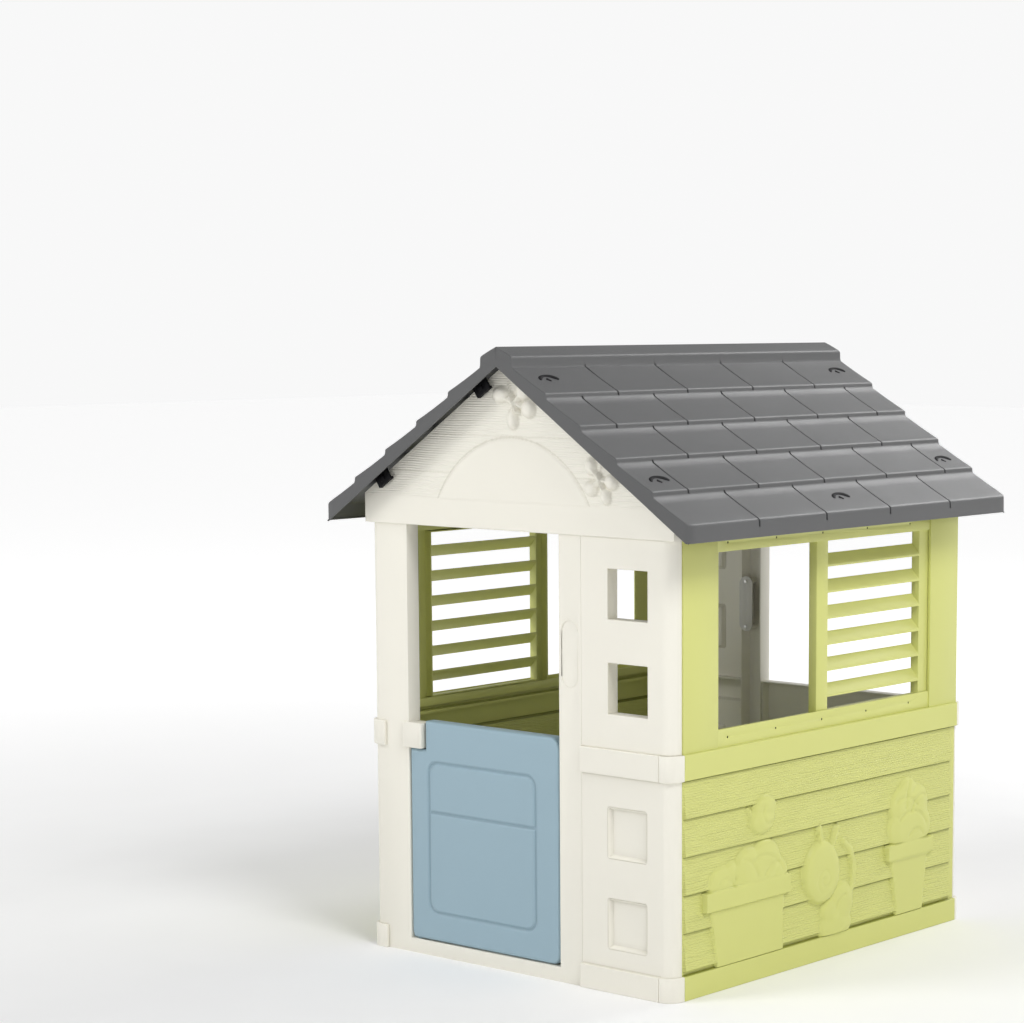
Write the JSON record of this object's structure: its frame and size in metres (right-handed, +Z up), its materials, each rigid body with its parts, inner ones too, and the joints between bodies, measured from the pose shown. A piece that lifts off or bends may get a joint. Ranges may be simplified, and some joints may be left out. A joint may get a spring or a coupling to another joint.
{
  "type": "plastic playhouse",
  "caption": "Child-size plastic playhouse with a pitched tiled roof, a half-height swinging door, sliding louvred shutters and clad side walls.",
  "frame": {"origin": "middle of the house on the ground, under the roof's own middle", "axes": "+Z up, the door faces -Y, the ridge runs along Y, +X is to the right of a person facing the door"},
  "size_m": [0.98, 1.1, 1.27],
  "materials": {
    "cream_plastic": "fine satin moulding grain",
    "lime_plastic": "fine satin moulding grain",
    "blue_plastic": "satin",
    "slate_plastic": "lightly grained",
    "dark_plastic": "satin",
    "grey_plastic": "satin",
    "screw_steel": "zinc-plated"
  },
  "bodies": {
    "house": {"front_door_frame": "cream_plastic", "front_upper_panel": "cream_plastic", "front_lower_panel": "cream_plastic", "front_gable": "cream_plastic", "front_joint_plate": "grey_plastic", "front_joint_screws": "screw_steel", "door_hinge_bracket": "cream_plastic", "rear_door_frame": "cream_plastic", "rear_upper_panel": "cream_plastic", "rear_lower_panel": "cream_plastic", "rear_gable": "cream_plastic", "rear_joint_plate": "grey_plastic", "rear_joint_screws": "screw_steel", "rear_infill_panel": "cream_plastic", "right_window_frame": "lime_plastic", "right_lower_panel": "lime_plastic", "right_rail_top": "lime_plastic", "right_rail_bottom": "lime_plastic", "right_rail_pegs": "dark_plastic", "left_window_frame": "lime_plastic", "left_lower_panel": "lime_plastic", "left_rail_top": "lime_plastic", "left_rail_bottom": "lime_plastic", "left_rail_pegs": "dark_plastic", "front_left_belt_cap": "cream_plastic", "front_left_skirt_cap": "cream_plastic", "front_right_belt_cap": "cream_plastic", "front_right_skirt_cap": "cream_plastic", "rear_left_belt_cap": "cream_plastic", "rear_left_skirt_cap": "cream_plastic", "rear_right_belt_cap": "cream_plastic", "rear_right_skirt_cap": "cream_plastic", "roof_right": "slate_plastic", "roof_left": "slate_plastic", "front_roof_clips": "dark_plastic", "rear_roof_clips": "dark_plastic", "eave_clips": "dark_plastic", "front_corner_screws": "screw_steel", "rear_corner_screws": "screw_steel"},
    "door": {"door_leaf": "blue_plastic"},
    "right_shutter": {"right_shutter": "lime_plastic"},
    "left_shutter": {"left_shutter": "lime_plastic"}
  },
  "joints": [
    {"name": "door_hinge", "type": "hinge", "parent": "house", "child": "door", "pos_m": [-0.282, -0.491, 0.25], "axis": [0, 0, -1], "range_deg": [0, 100]},
    {"name": "right_shutter_slide", "type": "slide", "parent": "house", "child": "right_shutter", "axis": [0, -1, 0], "range_m": [0, 0.334]},
    {"name": "left_shutter_slide", "type": "slide", "parent": "house", "child": "left_shutter", "axis": [0, 1, 0], "range_m": [0, 0.334]}
  ]
}
